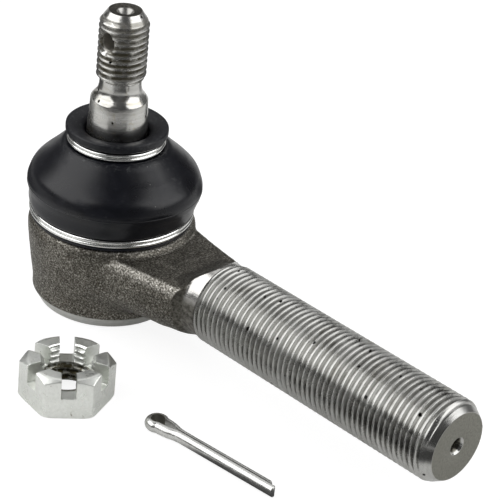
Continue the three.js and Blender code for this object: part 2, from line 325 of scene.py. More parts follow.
def turned_radius(x):
    return np.interp(x, TURNED_X, TURNED_R)


socket_outline = polygon_distance([
    (0, 0), (16.1, 0), (16.45, 0.25), (17.85, 2.65), (17.98, 2.95), (18.08, 5.1), (18.52, 7.9),
    (19.05, 10.7), (19.5, 13.4), (19.88, 16.2), (20.1, 18.0), (20.12, 19.6), (20.04, 20.5),
    (19.86, 21.2), (19.55, 21.75), (19.1, 22.12), (18.5, 22.3), (17.8, 22.34), (16.3, 22.34),
    (16.3, 25.3), (16.0, 25.6), (0, 25.6),
])
cavity_outline = polygon_distance([
    (0, -2), (13.6, -2), (13.5, -0.2), (13.2, 0.3), (13.2, 1.2), (14.4, 1.25), (14.4, 13.9),
    (12.80, 14.2), (12.62, 16.4), (12.0, 18.7), (11.0, 20.75), (9.6, 22.67), (9.9, 24.2),
    (10.8, 25.6), (10.9, 27), (0, 27),
])
OFF_AXIS = (0.738, 0.674)  # the way the forged wall and the boot sit off the bore's axis


def waves(x, y, z):
    """The slow unevenness of a forged skin, about a tenth of a millimetre."""
    return 0.035 * (
        np.sin(0.71 * x + 0.9 * z + 1.3) * np.cos(0.83 * y - 0.37 * z)
        + 0.8 * np.sin(1.27 * y + 0.61 * x + 0.4) * np.cos(1.13 * z - 0.52 * x + 2.0)
        + 0.6 * np.sin(1.9 * x - 1.7 * y + 0.8 * z) * np.cos(1.6 * z + 0.7 * y)
    )


def rounded_section(y, z, half, top, foot, wide, tall, low):
    """A section with elliptical top corners, `wide` by `tall`, and round lower ones."""
    upper = z > 0.5 * (top + foot)
    wide, tall = np.where(upper, wide, low), np.where(upper, tall, low)
    flat_y = np.abs(y) - half
    flat_z = np.where(upper, z - top, foot - z)
    qy, qz = (flat_y + wide) / wide, (flat_z + tall) / tall
    scale = (wide * qy**2 + tall * qz**2) / (qy**2 + qz**2 + 1e-9)
    corner = (np.hypot(qy, qz) - 1) * scale
    return np.where((qy > 0) & (qz > 0), corner, np.maximum(flat_y, flat_z))


def arm_distance(x, y, z):
    """The arm from the socket to the shank, with its ridge and the round blank behind the thread."""
    half = np.interp(x, [2, 12, 18, 24.5, 31, 33, 35, 40],
                     [16.6, 16.0, 14.5, 13.1, 11.9, 11.5, 11.1, 10.4])
    half = half - 0.07 * np.abs(z - (14.2 + 0.17 * (x - 16)))
    foot = np.interp(x, [0, 29, 33.5, 38, 42], [6.5, 6.5, 7.1, 8.2, 9.0])
    arm = rounded_section(y, z, half, 21.0, foot, np.interp(x, [10, 18, 35], [2.6, 2.4, 1.8]),
                          np.interp(x, [10, 18, 35], [5.0, 4.4, 3.1]), 8.0)
    rise = np.interp(x, [27, 29, 31, 33, 35, 37, 38.5, 39.6],
                     [20.2, 20.8, 21.2, 21.85, 22.95, 24.4, 25.6, 26.4])
    ridge = rounded_section(y, z, 8.7, rise, 9.0, 3.4, 3.0, 3.0)
    blank = np.maximum.reduce([np.hypot(y, z - SHANK_Z) - 9.6, 31 - x, z - 19.0])
    arm = smooth_min(smooth_min(arm, np.maximum(ridge, 26 - x), 1.6), blank, 1.6)
    return np.maximum(arm, -x)


def forging(x, y, z):
    """The socket with its arm, up to where the thread starts."""
    off = 0.38 * np.clip((z - 3) / 11, 0, 1) * np.clip((22.6 - z) / 0.8, 0, 1)
    socket = socket_outline(np.hypot(x - off * OFF_AXIS[0], y - off * OFF_AXIS[1]), z)
    # the fillet between socket and arm tightens from the side to the top
    tight = np.clip((z - 15.5) / 4.0, 0, 1)
    fillet = 3.8 + (0.8 - 3.8) * tight * tight * (3 - 2 * tight)
    skin = smooth_min(socket, arm_distance(x, y, z), fillet)
    forged = np.clip((z - BAND_TOP) / 0.8, 0, 1) * np.clip((22.3 - z) / 0.6, 0, 1)
    skin = skin + waves(x, y, z) * forged
    # the ridge of the parting line, and a nick at the arm's upper edge
    seam_z = 15.2 + 0.18 * (x - 16.7)
    along = np.clip((x - 15) / 4, 0, 1) * np.clip((36.5 - x) / 3, 0, 1)
    skin = skin - 0.22 * along * np.exp(-((z - seam_z) / 0.42) ** 2)
    nick = ((x - 16.6) / 1.3) ** 2 + ((y + 11.2) / 0.8) ** 2 + ((z - 21.5) / 0.9) ** 2
    skin = smooth_max(skin, 0.75 - np.sqrt(nick), 0.7)
    # the run-in, the flat end under the thread, and the socket's bore
    run_in = np.minimum((np.hypot(y, z - SHANK_Z) - turned_radius(x)) * 0.8, x - TURNED_X[0])
    skin = np.maximum(np.maximum(skin, run_in), x - FORGING_END)
    return np.maximum(skin, -cavity_outline(np.hypot(x, y), z))


# ---- nut ------------------------------------------------------------------------------------
nut_low, nut_high = box_mm("castle_nut")
NUT_AT = np.array([MOUNTS["nut_bearing_face"][0], 0.5 * (nut_low[1] + nut_high[1]), 0.0])
NUT_H = nut_high[2]
NUT_TURN = math.radians(51.3)
NUT_HALF = 9.5  # half the width across its flats
SLOT_HALF, SLOT_FLOOR = 1.7, 5.1
NUT_CREST = 5.3  # radius of the thread's crests


def nut_distance(x, y, z):
    """The nut about its own axis, slots up, with its real thread."""
    r = np.hypot(x, y)
    a = np.arctan2(y, x)
    hexagon = np.full(np.shape(x), -1e9)
    for k in range(3):
        b = math.radians(30 + 60 * k)
        hexagon = smooth_max(hexagon, np.abs(x * math.cos(b) + y * math.sin(b)) - NUT_HALF, 0.25)
    top = (r - 9.1) * 0.515 + (z - NUT_H) * 0.857  # the turned chamfer at the slotted end
    low = (r - 10.2) * 0.49 - z * 0.87
    body = smooth_max(hexagon, smooth_max(top, low, 0.15), 0.18)
    body = smooth_max(body, np.maximum(z - NUT_H, -z), 0.22)
    crest = NUT_CREST + thread_depth(z / PITCH - a / TAU + 0.5, 0.72)
    flare = 6.25 - np.minimum(np.minimum(z, NUT_H - z), 1.2) * 0.9
    bore = r - np.maximum(crest, flare)
    body = np.maximum(body, -bore)
    for k in range(3):
        b = math.radians(60 * k + 30)
        u = np.abs(-x * math.sin(b) + y * math.cos(b)) - SLOT_HALF
        slot = smooth_max(u, SLOT_FLOOR - z, 0.3)
        body = smooth_max(body, -slot, 0.16)
    return body


# ---- split pin --------------------------------------------------------------------------------
pin_low, pin_high = box_mm("split_pin")
PIN_AT = np.array([48.0, -29.8, 1.45])  # the closed end of the pin
PIN_TURN = math.radians(4.9)
PIN_EYE_X, PIN_EYE_R = 2.95, 1.5


def split_pin():
    """Half-round wire bent double: the path is the middle of its flat side."""
    half = 0.14  # half the gap between the legs

    def leg(side, end):
        straight = [(end, side * half), (30, side * half), (20, side * half), (12, side * half)]
        return straight + [(9.2, side * (half + 0.1)), (6.6, side * 0.85)]

    turns = [math.radians(t) for t in range(50, 311, 26)]
    bend = [(PIN_EYE_X + PIN_EYE_R * math.cos(t), PIN_EYE_R * math.sin(t)) for t in turns]
    path = smooth_profile(leg(1, 35.2) + bend + leg(-1, 37.3)[::-1], 0.3)
    tangent = np.gradient(path, axis=0)
    tangent /= np.linalg.norm(tangent, axis=1, keepdims=True)
    out = np.stack([tangent[:, 1], -tangent[:, 0]], 1)
    arc = np.radians(np.linspace(-90, 90, 19)[1:-1])
    section = [(0.0, -1.25), (0.02, -1.38)]
    section += [(1.42 * math.cos(t) * 0.98 + 0.02, 1.43 * math.sin(t)) for t in arc]
    section += [(0.02, 1.38), (0.0, 1.25), (0, 0.6), (0, 0), (0, -0.6)]
    section = np.array(section)
    centre = section.mean(0)
    steps = np.linalg.norm(np.diff(path, axis=0), axis=1)
    length = np.concatenate([[0], np.cumsum(steps)])
    cap = [(0.0, 0.0), (0.0, 0.62), (0.06, 0.86), (0.22, 1.0)]  # inset and scale of a sheared end
    rows = list(cap)
    rows += [(s, 1.0) for s in length if 0.3 < s < length[-1] - 0.3]
    rows += [(length[-1] - inset, scale) for inset, scale in cap[::-1]]
    verts = []
    for s, scale in rows:
        p = np.array([np.interp(s, length, path[:, k]) for k in (0, 1)])
        o = np.array([np.interp(s, length, out[:, k]) for k in (0, 1)])
        o /= np.linalg.norm(o)
        sec = centre + (section - centre) * scale
        verts.append(np.stack([p[0] + o[0] * sec[:, 0], p[1] + o[1] * sec[:, 0], sec[:, 1]], 1))
    return weld(*rings(verts))


# ---- wire rings ------------------------------------------------------------------------------
def wire_ring(radius, z, gap, start):
    """Round wire laid twice round a groove, one step up between the turns, with rounded ends."""
    wire, turns, step, n = 0.98, 1.93, 1.0, 14
    half = wire / 2
    count = int(360 * turns / step)
    t = np.arange(count + 1) / count
    a = math.radians(start) + TAU * turns * t
    s = np.clip((turns * t - 0.94) / 0.06, 0, 1)
    height = z + (wire + gap) * (s * s * (3 - 2 * s) - 0.5)
    arc = TAU * turns * t * radius
    from_end = np.clip(np.minimum(arc, arc[-1] - arc) / 0.35, 0, 1)
    thick = half * np.sqrt(np.clip(1 - (1 - from_end) ** 2, 0, 1))[:, None]
    b = np.arange(n) / n * TAU
    r = radius + thick * np.cos(b)[None]
    rows = np.stack([r * np.cos(a)[:, None], r * np.sin(a)[:, None],
                     height[:, None] + thick * np.sin(b)[None]], -1)
    return weld(*rings(rows))


# ---- materials ------------------------------------------------------------------------------
class Nodes:
    """Short names for building a node material in millimetres of the row frame."""

    def __init__(self, name, rough, metal=0.0, spec=0.5):
        self.mat = bpy.data.materials.new(name)
        self.mat.use_nodes = True
        self.tree = self.mat.node_tree
        self.shader = self.tree.nodes["Principled BSDF"]
        self.shader.inputs["Roughness"].default_value = rough
        self.shader.inputs["Metallic"].default_value = metal
        self.shader.inputs["Specular IOR Level"].default_value = spec
        coord = self.tree.nodes.new("ShaderNodeTexCoord")
        self.mm = self.vector("SCALE", coord.outputs["Object"], scale=1 / MM)

    def link(self, source, socket):
        self.tree.links.new(source, self.shader.inputs[socket])

    def linked(self, socket):
        """What already feeds a socket of the shader."""
        return self.shader.inputs[socket].links[0].from_socket

    def plug(self, node, key, value):
        if hasattr(value, "is_linked"):
            self.tree.links.new(value, node.inputs[key])
        elif value is not None:
            node.inputs[key].default_value = value

    def vector(self, operation, a, b=None, scale=None):
        node = self.tree.nodes.new("ShaderNodeVectorMath")
        node.operation = operation
        self.plug(node, 0, a)
        self.plug(node, 1, b)
        self.plug(node, "Scale", scale)
        return node.outputs["Value" if operation == "LENGTH" else "Vector"]

    def math(self, operation, a, b=None, c=None):
        node = self.tree.nodes.new("ShaderNodeMath")
        node.operation = operation
        for key, value in enumerate((a, b, c)):
            self.plug(node, key, value)
        return node.outputs[0]

    def times(self, first, *others):
        for other in others:
            first = self.math("MULTIPLY", first, other)
        return first

    def weigh(self, first, *others):
        """The sum of (value, weight) pairs."""
        total = self.times(*first)
        for pair in others:
            total = self.math("ADD", total, self.times(*pair))
        return total

    def axis(self, which, source=None):
        node = self.tree.nodes.new("ShaderNodeSeparateXYZ")
        self.plug(node, 0, source or self.mm)
        return node.outputs[which]

    def stretch(self, factors):
        return self.vector("MULTIPLY", self.mm, factors)

    def reach(self, centre=(0, 0, 0), axes=(1, 1, 0)):
        """The distance from a line through the centre, counted along the axes that are 1."""
        away = self.vector("SUBTRACT", self.mm, centre)
        return self.vector("LENGTH", self.vector("MULTIPLY", away, axes))

    def noise(self, size, detail=3.0, rough=0.5, source=None, distort=0.0):
        """Noise of 0 to 1 whose features are about `size` millimetres across."""
        node = self.tree.nodes.new("ShaderNodeTexNoise")
        node.inputs["Scale"].default_value = 1.0 / size
        node.inputs["Detail"].default_value = detail
        node.inputs["Roughness"].default_value = rough
        node.inputs["Distortion"].default_value = distort
        self.plug(node, "Vector", source or self.mm)
        return node.outputs["Fac"]

    def specks(self, size, inner, outer, bare, source=None):
        """A round spot in some cells of `size` millimetres: 1 within `inner`, 0 beyond `outer`.

        `bare` is the share of the cells without a spot.
        """
        node = self.tree.nodes.new("ShaderNodeTexVoronoi")
        node.inputs["Scale"].default_value = 1.0 / size
        self.plug(node, "Vector", source or self.mm)
        chosen = self.math("GREATER_THAN", self.axis(0, node.outputs["Color"]), bare)
        return self.times(self.fall(node.outputs["Distance"], inner, outer), chosen)

    def ramp(self, value, stops):
        """Colour or grey against a value: stops are (place, colour or number)."""
        node = self.tree.nodes.new("ShaderNodeValToRGB")
        while len(node.color_ramp.elements) < len(stops):
            node.color_ramp.elements.new(0.5)
        for element, (place, colour) in zip(node.color_ramp.elements, stops):
            element.position = place
            if not isinstance(colour, (tuple, list)):
                colour = (colour,) * 3
            element.color = (*colour, 1.0)
        self.plug(node, 0, value)
        return node.outputs["Color"]

    def span(self, value, low, high, out_low=0.0, out_high=1.0):
        """A smooth step from out_low, up to low, to out_high, from high on."""
        node = self.tree.nodes.new("ShaderNodeMapRange")
        node.interpolation_type = "SMOOTHSTEP"
        for key, number in enumerate((value, low, high, out_low, out_high)):
            self.plug(node, key, number)
        return node.outputs[0]

    def fall(self, value, low, high):
        return self.span(value, low, high, 1.0, 0.0)

    def window(self, value, low, low_full, high_full, high):
        """1 between low_full and high_full, 0 outside low and high."""
        return self.times(self.span(value, low, low_full), self.fall(value, high_full, high))

    def mix(self, factor, a, b):
        node = self.tree.nodes.new("ShaderNodeMix")
        node.data_type = "RGBA"
        self.plug(node, 0, factor)
        for key, value in ((6, a), (7, b)):
            if isinstance(value, (tuple, list)):
                value = (*value, 1.0)
            self.plug(node, key, value)
        return node.outputs[2]

    def mix_number(self, factor, a, b):
        node = self.tree.nodes.new("ShaderNodeMix")
        node.data_type = "FLOAT"
        for key, value in ((0, factor), (2, a), (3, b)):
            self.plug(node, key, value)
        return node.outputs[0]

    def bump(self, *layers):
        """Layers of (height, depth in millimetres), laid one on another."""
        normal = None
        for height, depth in layers:
            node = self.tree.nodes.new("ShaderNodeBump")
            node.inputs["Strength"].default_value = 1.0
            node.inputs["Distance"].default_value = depth * MM
            self.plug(node, "Height", height)
            self.plug(node, "Normal", normal)
            normal = node.outputs["Normal"]
        self.link(normal, "Normal")


def forged_material():
    """Blasted forging with a painted highlight on its upper edges, a turned run-in behind the thread and a
    machined band.
    """
    m = Nodes("forged_steel", 0.5, metal=0.85)
    x, y, z = (m.axis(k) for k in range(3))
    from_bore = m.reach()
    from_shank = m.reach((0, 0, SHANK_Z), (0, 1, 1))
    grain = m.noise(0.38, 3, 0.62)
    patches = m.noise(6.0, 4, 0.6, distort=0.6)
    rust = m.noise(3.2, 5, 0.62, distort=0.8)
    colour = m.ramp(m.weigh((grain, 0.82), (patches, 0.2)), [
        (0.36, (0.030, 0.027, 0.022)), (0.49, (0.100, 0.093, 0.078)),
        (0.58, (0.215, 0.203, 0.176)), (0.70, (0.52, 0.50, 0.455)),
    ])
    colour = m.mix(m.span(rust, 0.56, 0.74, 0.0, 0.30), colour, (0.085, 0.060, 0.038))

    # painted highlight: the upper edges of the arm, and arcs on the socket's shoulder where the arm joins it,
    # lightened with the grain
    edges = m.times(m.window(z, 18.4, 19.7, 20.8, 20.97), m.span(from_bore, 20.3, 21.3),
                    m.span(m.math("ABSOLUTE", y), 8.6, 9.4))
    shoulder_arc_highlight = m.math("MAXIMUM", m.window(z, 21.75, 21.95, 22.2, 22.3),
                  m.window(from_bore, 20.45, 20.6, 20.9, 21.05))
    shoulder_arc_highlight = m.times(shoulder_arc_highlight, m.span(z, 20.7, 20.85), m.span(x, 12, 15, 0.0, 0.8))
    painted_highlight = m.times(m.math("MAXIMUM", edges, shoulder_arc_highlight),
                   m.span(m.noise(0.8, 4, 0.65), 0.36, 0.56, 0.25, 0.9))
    bright = m.ramp(grain, [(0.38, (0.12, 0.112, 0.096)), (0.52, (0.34, 0.325, 0.29)),
                            (0.66, (0.74, 0.72, 0.67))])
    colour = m.mix(painted_highlight, colour, bright)
    ridge = m.times(m.span(x, 29.5, 31.5), m.span(z, 20.95, 21.3, 0.0, 0.6))
    colour = m.mix(ridge, colour, (0.045, 0.042, 0.036))

    # the run-in: bright where the tool cut clean, torn towards its foot, scaly on its lower half
    length, largest = TURNED_X[-1] - TURNED_X[0], 20.0
    run_in = m.ramp(m.math("DIVIDE", m.math("SUBTRACT", x, TURNED_X[0]), length), [
        ((px - TURNED_X[0]) / length, pr / largest) for px, pr in zip(TURNED_X, TURNED_R)])
    run_in = m.times(run_in, largest)
    on_cone = m.times(m.span(m.math("SUBTRACT", from_shank, run_in), -0.16, -0.06),
                      m.span(x, 32.9, 33.3))
    torn = m.span(m.math("ADD", run_in, m.times(m.noise(1.7, 4, 0.6), 1.3)), 10.4, 10.7)
    lower = m.fall(z, 18.0, 20.6)
    turned = m.ramp(m.noise(1.1, 3, 0.55), [(0.3, (0.50, 0.49, 0.47)), (0.7, (0.62, 0.61, 0.59))])
    turned = m.mix(lower, turned, m.ramp(m.noise(0.9, 4, 0.65), [
        (0.35, (0.07, 0.066, 0.057)), (0.65, (0.25, 0.24, 0.215))]))
    turned = m.mix(m.times(torn, m.fall(z, 24.2, 25.0)), turned, m.ramp(m.noise(0.8, 4, 0.65), [
        (0.35, (0.045, 0.042, 0.034)), (0.68, (0.20, 0.19, 0.165))]))

    on_band = m.times(m.fall(z, BAND_TOP - 0.02, BAND_TOP + 0.12), m.span(from_bore, 11.5, 12.5))
    turning = m.noise(0.35, 2, 0.5, m.stretch((0.04, 0.04, 1.0)))
    band = m.ramp(m.weigh((turning, 0.7), (m.noise(1.2, 3), 0.3)), [
        (0.3, (0.43, 0.43, 0.41)), (0.7, (0.68, 0.68, 0.66))])
    m.link(m.mix(on_cone, m.mix(on_band, colour, band), turned), "Base Color")

    rough = m.mix_number(on_band, m.span(grain, 0.38, 0.7, 0.56, 0.30), 0.42)
    turned_rough = m.mix_number(m.math("MAXIMUM", torn, lower), 0.2, 0.48)
    m.link(m.mix_number(on_cone, rough, turned_rough), "Roughness")
    machined = m.math("MAXIMUM", on_band, on_cone)
    forged = m.math("SUBTRACT", 1.0, m.times(machined, 0.93))
    m.bump((m.times(m.noise(2.4, 3, 0.5), forged), 0.07), (m.times(grain, forged), 0.10),
           (m.times(m.noise(0.2, 2, 0.6), forged), 0.03), (m.times(turning, machined, 0.5), 0.03))
    return m.mat


def rolled_material(name, axis_scale, light, dark, grime, rough):
    """Turned or rolled steel: fine lines round the axis, soft clouds, streaks and dark specks."""
    m = Nodes(name, rough, metal=1.0)
    lines = m.noise(0.5, 3, 0.6, m.stretch(axis_scale))
    streaks = m.noise(2.6, 4, 0.6, m.stretch(tuple(0.25 + 0.5 * s for s in axis_scale)))
    cloud = m.noise(5.0, 4, 0.55, distort=0.5)
    colour = m.ramp(m.weigh((lines, 0.5), (cloud, 0.5)), [(0.32, dark), (0.66, light)])
    colour = m.mix(m.span(streaks, 0.56, 0.72, 0.0, 0.55), colour, grime)
    specks = m.specks(3.0, 0.12, 0.20, 0.84, m.stretch((1.4, 1.0, 1.0)))
    m.link(m.mix(specks, colour, (0.012, 0.011, 0.010)), "Base Color")
    polish = m.span(cloud, 0.3, 0.7, rough - 0.05, rough + 0.10)
    m.link(m.math("MAXIMUM", polish, m.times(specks, 0.7)), "Roughness")
    m.bump((lines, 0.012), (m.noise(1.4, 3, 0.6), 0.02), (m.times(specks, -1.0), 0.05))
    return m


def shank_material():
    m = rolled_material("shank_steel", (1.0, 0.04, 0.04), (0.53, 0.53, 0.515),
                        (0.36, 0.358, 0.342), (0.21, 0.205, 0.18), 0.24)
    x = m.axis(0)
    radial = m.reach((0, 0, SHANK_Z), (0, 1, 1))
    # darker thread roots: grime, with painted shade that makes them darker on the underside than on top
    groove = m.times(m.fall(radial, 9.15, 9.6), m.fall(x, SHANK_END - 3.4, SHANK_END - 3.0),
                     m.span(m.noise(3.0, 4, 0.6, m.stretch((0.5, 1, 1))), 0.36, 0.58, 0.15, 1.0),
                     m.span(m.axis(2), SHANK_Z - 4.5, SHANK_Z + 3.5, 0.9, 0.25))
    colour = m.mix(groove, m.linked("Base Color"), (0.055, 0.048, 0.036))
    face = m.times(m.span(x, SHANK_END - 0.06, SHANK_END - 0.03), m.fall(radial, 8.02, 8.12))
    colour = m.mix(face, colour, m.ramp(m.noise(0.5, 4, 0.65), [
        (0.3, (0.185, 0.183, 0.16)), (0.7, (0.295, 0.292, 0.258))]))
    drilled = m.times(m.fall(radial, 1.9, 2.2), m.fall(x, SHANK_END - 0.8, SHANK_END - 0.4))
    m.link(m.mix(drilled, colour, (0.10, 0.095, 0.08)), "Base Color")
    m.link(m.mix_number(face, m.linked("Roughness"), 0.55), "Roughness")
    return m.mat


def stud_material():
    m = rolled_material("stud_steel", (0.05, 0.05, 1.0), (0.68, 0.675, 0.655),
                        (0.42, 0.415, 0.395), (0.27, 0.255, 0.21), 0.21)
    z = m.axis(2)
    radial = m.reach()
    oil = m.times(m.fall(radial, 5.3, 5.72), m.span(z, 59.0, 59.8), m.span(z, 66, 74, 1.0, 0.45),
                  m.span(m.noise(2.2, 4, 0.6), 0.34, 0.52), m.span(radial, 4.7, 4.9))
    colour = m.mix(m.times(oil, 0.9), m.linked("Base Color"), (0.055, 0.045, 0.018))
    m.link(m.math("SUBTRACT", 1.0, m.times(oil, 0.75)), "Metallic")
    bore = m.times(m.fall(radial, 4.7, 5.0), m.window(z, 63, 64, 71, 72))
    colour = m.mix(bore, colour, (0.42, 0.405, 0.375))
    stain = m.times(m.span(m.noise(3.0, 6, 0.66, distort=1.2), 0.56, 0.64),
                    m.span(z, 44, 66, 0.6, 0.2))
    colour = m.mix(m.times(stain, 0.6), colour, (0.34, 0.275, 0.14))
    dish = m.times(m.fall(radial, 3.78, 3.9), m.span(z, STUD_TIP - 2.0, STUD_TIP - 1.8),
                   m.span(radial, 1.95, 2.15, 0.35, 1.0))
    m.link(m.mix(dish, colour, m.ramp(m.noise(0.6, 4, 0.65), [
        (0.35, (0.035, 0.032, 0.028)), (0.65, (0.13, 0.125, 0.112))])), "Base Color")
    m.link(m.mix_number(m.math("MAXIMUM", dish, bore), m.linked("Roughness"), 0.5), "Roughness")
    return m.mat


def rubber_material():
    m = Nodes("boot_rubber", 0.3, spec=0.38)
    z = m.axis(2)
    cloud = m.noise(7.0, 4, 0.6, distort=0.8)
    scuff = m.noise(1.6, 6, 0.7, m.stretch((0.6, 0.6, 1.6)), distort=1.5)
    marks = m.times(m.span(scuff, 0.56, 0.68), m.span(cloud, 0.5, 0.60))
    colour = m.ramp(cloud, [(0.3, (0.0026, 0.0029, 0.0052)), (0.7, (0.0048, 0.0055, 0.0100))])
    colour = m.mix(m.times(marks, 0.5), colour, (0.032, 0.033, 0.037))
    dust = m.specks(3.4, 0.035, 0.06, 0.72)
    colour = m.mix(m.times(dust, 0.7), colour, (0.16, 0.16, 0.15))
    handled = m.math("MAXIMUM", m.window(z, 39.8, 41.2, 41.7, 41.9),
                     m.times(m.span(z, 44.6, 45.2), 0.8))  # by the upper ring and on the collar
    rubbed = m.noise(0.75, 5, 0.72, m.stretch((0.8, 0.8, 1.8)), distort=1.2)
    rubbed = m.times(m.span(rubbed, 0.54, 0.66), handled)
    m.link(m.mix(m.times(rubbed, 0.5), colour, (0.11, 0.115, 0.115)), "Base Color")
    rough = m.math("ADD", m.span(cloud, 0.3, 0.7, 0.27, 0.36), m.times(marks, 0.22))
    m.link(m.math("ADD", rough, m.times(m.span(z, 44.4, 45.2), 0.10)), "Roughness")
    m.bump((m.noise(0.5, 3, 0.6), 0.010), (marks, 0.02), (m.noise(9.0, 2, 0.5), 0.05))
    return m.mat


def wire_material():
    m = Nodes("clamp_wire", 0.2, metal=1.0)
    grain = m.noise(1.6, 4, 0.6, m.stretch((0.6, 0.6, 3.0)))
    m.link(m.ramp(grain, [(0.35, (0.76, 0.77, 0.755)), (0.65, (0.92, 0.92, 0.895))]), "Base Color")
    m.link(m.span(grain, 0.3, 0.7, 0.12, 0.22), "Roughness")
    m.bump((m.noise(0.6, 2, 0.5, m.stretch((0.7, 0.7, 2.0))), 0.004))
    return m.mat


def zinc_material(name, light, dark, stain_amount, rough, skin=1.0):
    """Zinc plate with small crystals and a few stains; skin scales the depth of its bumps."""
    m = Nodes(name, rough, metal=0.9)
    crystal = m.noise(0.7, 4, 0.62)
    cloud = m.noise(3.5, 4, 0.6, distort=0.6)
    colour = m.ramp(m.weigh((crystal, 0.45), (cloud, 0.55)), [(0.34, dark), (0.62, light)])
    stain = m.times(m.span(m.noise(1.3, 5, 0.7, distort=1.0), 0.60, 0.70),
                    m.span(cloud, 0.46, 0.6))
    m.link(m.mix(m.times(stain, stain_amount), colour, (0.20, 0.165, 0.10)), "Base Color")
    polish = m.span(cloud, 0.3, 0.7, rough - 0.06, rough + 0.08)
    m.link(m.math("ADD", polish, m.times(stain, 0.2)), "Roughness")
    m.bump((m.noise(0.28, 3, 0.6), 0.012 * skin), (m.noise(1.8, 3, 0.5), 0.03 * skin))
    return m


def nut_material():
    m = zinc_material("nut_zinc", (0.88, 0.895, 0.86), (0.74, 0.755, 0.715), 0.7, 0.32)
    grime = m.times(m.fall(m.reach((NUT_AT[0], NUT_AT[1], 0)), 5.9, 6.4),
                    m.fall(m.axis(2), 4.6, 6.2),
                    m.span(m.noise(1.2, 4, 0.6), 0.30, 0.55, 0.45, 1.0))
    m.link(m.mix(grime, m.linked("Base Color"), (0.075, 0.066, 0.036)), "Base Color")
    return m.mat


def pin_material():
    m = zinc_material("pin_zinc", (0.72, 0.72, 0.70), (0.50, 0.50, 0.485), 0.3, 0.24, skin=0.25)
    eye = PIN_AT + PIN_EYE_X * np.array([math.cos(PIN_TURN), math.sin(PIN_TURN), 0])
    # painted shade: the inside of the eye is darker and rougher
    inside = m.fall(m.reach(tuple(eye)), 1.6, 1.75)
    m.link(m.mix(inside, m.linked("Base Color"), (0.20, 0.195, 0.17)), "Base Color")
    m.link(m.mix_number(inside, m.linked("Roughness"), 0.5), "Roughness")
    return m.mat


def plate_material():
    m = Nodes("plate_steel", 0.36, metal=0.95)
    swirl = m.noise(0.9, 4, 0.6, distort=1.0)
    rust = m.span(m.noise(3.5, 5, 0.65, distort=0.8), 0.58, 0.72, 0.0, 0.5)
    colour = m.ramp(swirl, [(0.34, (0.26, 0.265, 0.27)), (0.66, (0.42, 0.425, 0.42))])
    m.link(m.mix(rust, colour, (0.17, 0.14, 0.095)), "Base Color")
    m.link(m.span(swirl, 0.3, 0.7, 0.30, 0.46), "Roughness")
    m.bump((m.noise(0.4, 3, 0.6), 0.02))
    return m.mat


def seat_material():
    m = Nodes("seat_plastic", 0.45, spec=0.45)
    cloud = m.noise(4.0, 3, 0.5)
    colour = m.ramp(cloud, [(0.3, (0.60, 0.57, 0.48)), (0.7, (0.70, 0.68, 0.60))])
    grease = m.span(m.noise(2.5, 5, 0.6, distort=1.0), 0.55, 0.68, 0.0, 0.7)
    m.link(m.mix(grease, colour, (0.34, 0.24, 0.09)), "Base Color")
    m.link(m.math("SUBTRACT", 0.48, m.times(grease, 0.25)), "Roughness")
    m.bump((m.noise(0.4, 2, 0.5), 0.015))
    return m.mat


def spring_material():
    m = Nodes("spring_steel", 0.35, metal=1.0)
    grain = m.noise(0.9, 4, 0.6)
    m.link(m.ramp(grain, [(0.3, (0.06, 0.065, 0.075)), (0.7, (0.14, 0.145, 0.155))]), "Base Color")
    m.link(m.span(grain, 0.3, 0.7, 0.28, 0.44), "Roughness")
    m.bump((m.noise(0.4, 3, 0.6), 0.015))
    return m.mat


FORGED = forged_material()
SHANK = shank_material()
STUD = stud_material()
RUBBER = rubber_material()
WIRE = wire_material()
NUT_ZINC = nut_material()
PIN_ZINC = pin_material()
PLATE = plate_material()
SEAT = seat_material()
SPRING = spring_material()


# ---- pieces ----------------------------------------------------------------------------------
def piece(obj, body, slot, *nodes):
    """Hangs a mesh on its body if it rides on only one and hides the nodes it replaces. The slot is not used."""
    if body:
        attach(obj, body)
    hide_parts(*nodes)
    return obj


def turn(points, angle):
    c, s = math.cos(angle), math.sin(angle)
    x, y, z = points.T
    return np.stack([c * x - s * y, s * x + c * y, z], 1)


place, quads = contour(forging, (-21.1, -20.9, -0.5), (40.3, 20.9, 26.8), 0.35)
piece(mesh_object("forging", place, quads, FORGED, 38), "housing", "forged_steel", "housing")


def shank_envelope(x):
    """The run-out behind the thread and the chamfer at its end."""
    return np.minimum(9.35 + (x - THREAD_START) * 0.6, 8.17 + (SHANK_END - x) * 0.62)


verts, faces = threaded_rod(
    THREAD_START, SHANK_END, PITCH, 0.86, 9.9, shank_envelope,
    before=[(34.5, 0), (34.5, 4.6), (36.5, 6.6), (38.0, 8.2), (39.0, 9.1)],
    after=[(SHANK_END, 8.1), (SHANK_END, 5), (SHANK_END, 2.25), (SHANK_END - 0.12, 2.05),
           (SHANK_END - 1.95, 0.95), (SHANK_END - 4.4, 0.9), (SHANK_END - 4.9, 0)],
    n=120, per=10,
)
verts[:, 2] += SHANK_Z
piece(mesh_object("threaded_shank", verts, faces, SHANK, 42), "housing", "forged_steel", "housing")

# The stud is turned along X, as [x, r], and then stood up.
STUD_THREAD = 58.1  # where the stud's thread starts, above its undercut
HOLE_Z = 68.2  # the split-pin hole
ball = [(5.6, 0.0), (5.6, 6.8), (5.68, 7.0)]
for t in np.linspace(math.asin((5.85 - BALL_Z) / BALL_R), math.asin(0.866), 40):
    ball.append((BALL_Z + BALL_R * math.sin(t), BALL_R * math.cos(t)))
neck = smooth_profile([(24.1, 5.35), (25.2, 5.15), (26.5, 5.1), (33, 5.1), (35, 5.4),
                       (36.8, 6.05), (39.2, 7.1), (40, 7.36)], 0.4)
taper = [(40.3, 7.385), (46.4, 7.08), (52.98, 6.755), (53.1, 6.70), (53.9, 6.12)]
relief = smooth_profile([(54.0, 6.02), (54.35, 5.74), (54.9, 5.4), (55.6, 5.14), (56.5, 4.99),
                         (57.4, 4.95), (58.0, 4.95)], 0.25)


def stud_envelope(z):
    """The run-out above the undercut and the chamfer at the tip."""
    return np.minimum(4.95 + (z - STUD_THREAD) * 0.95, 3.95 + (STUD_TIP - z) * 0.69)


